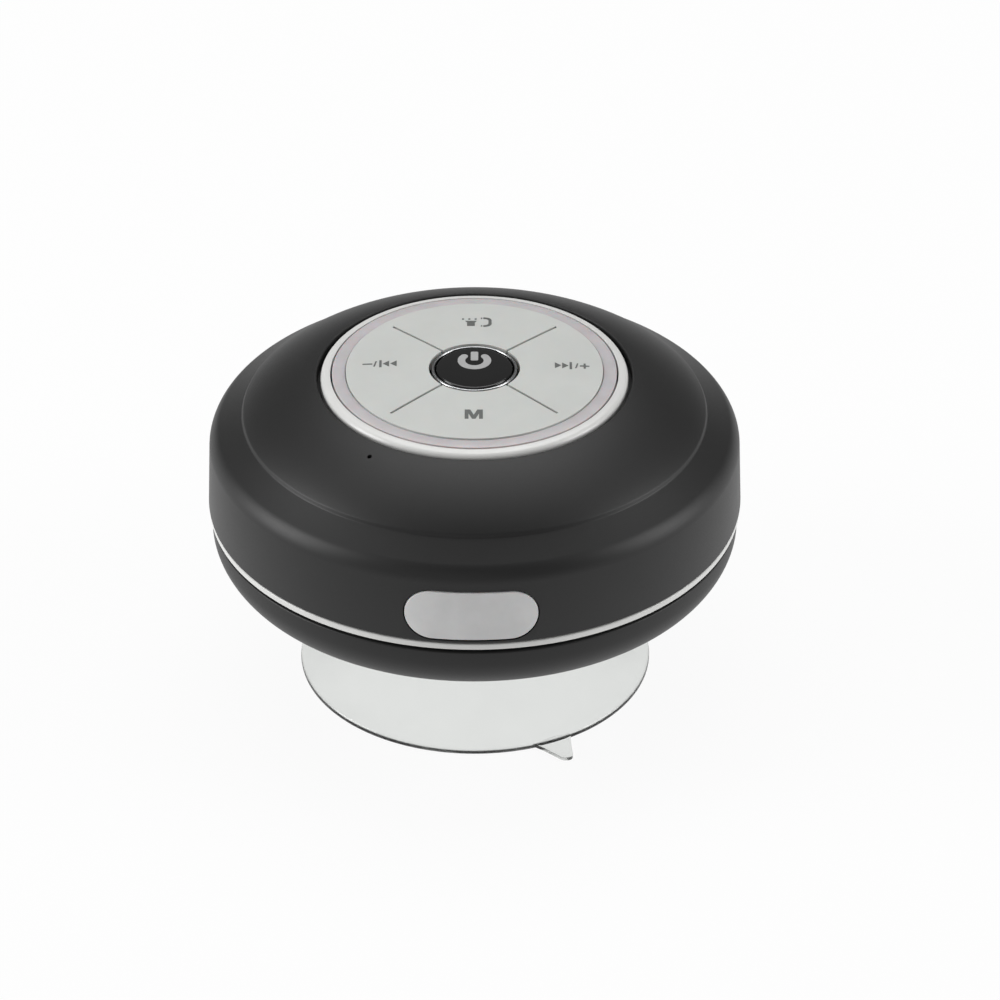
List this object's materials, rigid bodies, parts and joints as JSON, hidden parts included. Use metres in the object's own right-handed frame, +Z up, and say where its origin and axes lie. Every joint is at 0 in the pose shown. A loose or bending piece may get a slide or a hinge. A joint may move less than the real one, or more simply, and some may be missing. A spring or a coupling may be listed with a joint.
{
  "type": "shower speaker",
  "caption": "Round dome-topped shower speaker with a pressable control panel, a charging port under a hinged flap, a ring-shaped sound slot and a suction cup underneath.",
  "frame": {"origin": "centre of the suction cup's rim plane, which is the bottom centre of the whole object", "axes": "+Z up through the control panel; the charging port faces -Y; the next-track key is at +X"},
  "size_m": [0.093, 0.093, 0.06],
  "materials": {
    "soft_touch_abs": "near-black soft-touch lacquer on moulded ABS",
    "silver_abs": "satin light silver paint on moulded ABS",
    "frosted_polycarbonate": "frosted translucent light guide",
    "grey_silicone": "light grey silicone with dark print",
    "gloss_black_abs": "polished black with a light grey power symbol",
    "flap_silicone": "mid grey matt silicone",
    "clear_pvc": "clear glossy soft PVC",
    "natural_abs": "as moulded",
    "fibreglass_board": "green solder mask",
    "chip_resin": "matt epoxy",
    "plated_steel": "bright zinc or nickel plate",
    "ferrite": "sintered, unpolished",
    "copper_winding": "enamelled copper wire",
    "cone_paper": "pressed coated paper",
    "seal_rubber": "matt",
    "battery_foil": "aluminium-laminate pouch",
    "foam": "closed-cell foam",
    "lead_insulation": "PVC insulation",
    "led_resin": "clear epoxy"
  },
  "bodies": {
    "root": {"top_shell": "soft_touch_abs", "bottom_shell": "soft_touch_abs", "trim_ring": "silver_abs", "panel_bezel": "silver_abs", "light_ring": "frosted_polycarbonate", "keypad_rim": "grey_silicone", "power_button_ring": "plated_steel", "main_board": "fibreglass_board", "port_board": "fibreglass_board", "bluetooth_chip": "chip_resin", "amplifier_chip": "chip_resin", "microphone": "plated_steel", "microphone_boot": "seal_rubber", "board_cable": "lead_insulation", "battery_leads": "lead_insulation", "driver_leads": "lead_insulation", "battery": "battery_foil", "battery_pad": "foam", "usb_socket": "plated_steel", "port_cover_anchor": "flap_silicone", "speaker_baffle": "natural_abs", "main_gasket": "seal_rubber", "driver_gasket": "seal_rubber", "driver_basket": "plated_steel", "driver_magnet": "ferrite", "driver_yoke": "plated_steel", "cup_retainer": "natural_abs", "switch_next": "chip_resin", "switch_call": "chip_resin", "switch_previous": "chip_resin", "switch_mode": "chip_resin", "switch_power": "chip_resin", "led_1": "led_resin", "led_2": "led_resin", "led_3": "led_resin", "led_4": "led_resin", "board_screw_1": "plated_steel", "board_screw_2": "plated_steel", "shell_screw_1": "plated_steel", "baffle_screw_1": "plated_steel", "shell_screw_2": "plated_steel", "baffle_screw_2": "plated_steel", "shell_screw_3": "plated_steel", "baffle_screw_3": "plated_steel"},
    "next_key": {"key_next": "grey_silicone"},
    "next_plunger": {"plunger_next": "seal_rubber"},
    "call_key": {"key_call": "grey_silicone"},
    "call_plunger": {"plunger_call": "seal_rubber"},
    "previous_key": {"key_previous": "grey_silicone"},
    "previous_plunger": {"plunger_previous": "seal_rubber"},
    "mode_key": {"key_mode": "grey_silicone"},
    "mode_plunger": {"plunger_mode": "seal_rubber"},
    "power_button": {"power_button": "gloss_black_abs", "plunger_power": "seal_rubber"},
    "speaker_cone": {"driver_cone": "cone_paper", "driver_voice_coil": "copper_winding", "driver_surround": "seal_rubber"},
    "port_cover": {"port_cover": "flap_silicone"},
    "cup_stem": {"suction_cup_stem": "clear_pvc"},
    "cup_lip": {"suction_cup_skirt": "clear_pvc"}
  },
  "joints": [
    {"name": "next_key_press", "type": "hinge", "parent": "root", "child": "next_key", "pos_m": [0.02035, 0, 0.05859], "axis": [0, -1, 0], "range_deg": [0, 2], "stiffness_Nm_per_rad": 0.35},
    {"name": "next_switch_travel", "type": "slide", "parent": "root", "child": "next_plunger", "axis": [0, 0, -1], "range_m": [0, 0.0003]},
    {"name": "call_key_press", "type": "hinge", "parent": "root", "child": "call_key", "pos_m": [0, 0.02035, 0.05859], "axis": [1, 0, 0], "range_deg": [0, 2], "stiffness_Nm_per_rad": 0.35},
    {"name": "call_switch_travel", "type": "slide", "parent": "root", "child": "call_plunger", "axis": [0, 0, -1], "range_m": [0, 0.0003]},
    {"name": "previous_key_press", "type": "hinge", "parent": "root", "child": "previous_key", "pos_m": [-0.02035, 0, 0.05859], "axis": [0, 1, 0], "range_deg": [0, 2], "stiffness_Nm_per_rad": 0.35},
    {"name": "previous_switch_travel", "type": "slide", "parent": "root", "child": "previous_plunger", "axis": [0, 0, -1], "range_m": [0, 0.0003]},
    {"name": "mode_key_press", "type": "hinge", "parent": "root", "child": "mode_key", "pos_m": [0, -0.02035, 0.05859], "axis": [-1, 0, 0], "range_deg": [0, 2], "stiffness_Nm_per_rad": 0.35},
    {"name": "mode_switch_travel", "type": "slide", "parent": "root", "child": "mode_plunger", "axis": [0, 0, -1], "range_m": [0, 0.0003]},
    {"name": "power_press", "type": "slide", "parent": "root", "child": "power_button", "axis": [0, 0, -1], "range_m": [0, 0.0003], "stiffness_N_per_m": 3000},
    {"name": "cone_stroke", "type": "slide", "parent": "root", "child": "speaker_cone", "axis": [0, 0, 1], "range_m": [-0.0006, 0.0006], "stiffness_N_per_m": 1500, "deforming": ["driver_surround"]},
    {"name": "port_cover_hinge", "type": "hinge", "parent": "root", "child": "port_cover", "pos_m": [-0.012, -0.04487, 0.0393], "axis": [0, 0, -1], "range_deg": [0, 110]},
    {"name": "cup_swivel", "type": "hinge", "parent": "root", "child": "cup_stem", "pos_m": [0, 0, 0.0205], "axis": [0, 0, 1], "continuous": true},
    {"name": "cup_press", "type": "slide", "parent": "cup_stem", "child": "cup_lip", "axis": [0, 0, 1], "range_m": [0, 0.01], "stiffness_N_per_m": 2500, "springref_m": -0.002, "deforming": ["suction_cup_skirt"]}
  ],
  "couplings": [
    {"joint": "next_switch_travel", "follows": "next_key_press", "m_per_rad": 0.00835},
    {"joint": "call_switch_travel", "follows": "call_key_press", "m_per_rad": 0.00835},
    {"joint": "previous_switch_travel", "follows": "previous_key_press", "m_per_rad": 0.00835},
    {"joint": "mode_switch_travel", "follows": "mode_key_press", "m_per_rad": 0.00835}
  ]
}
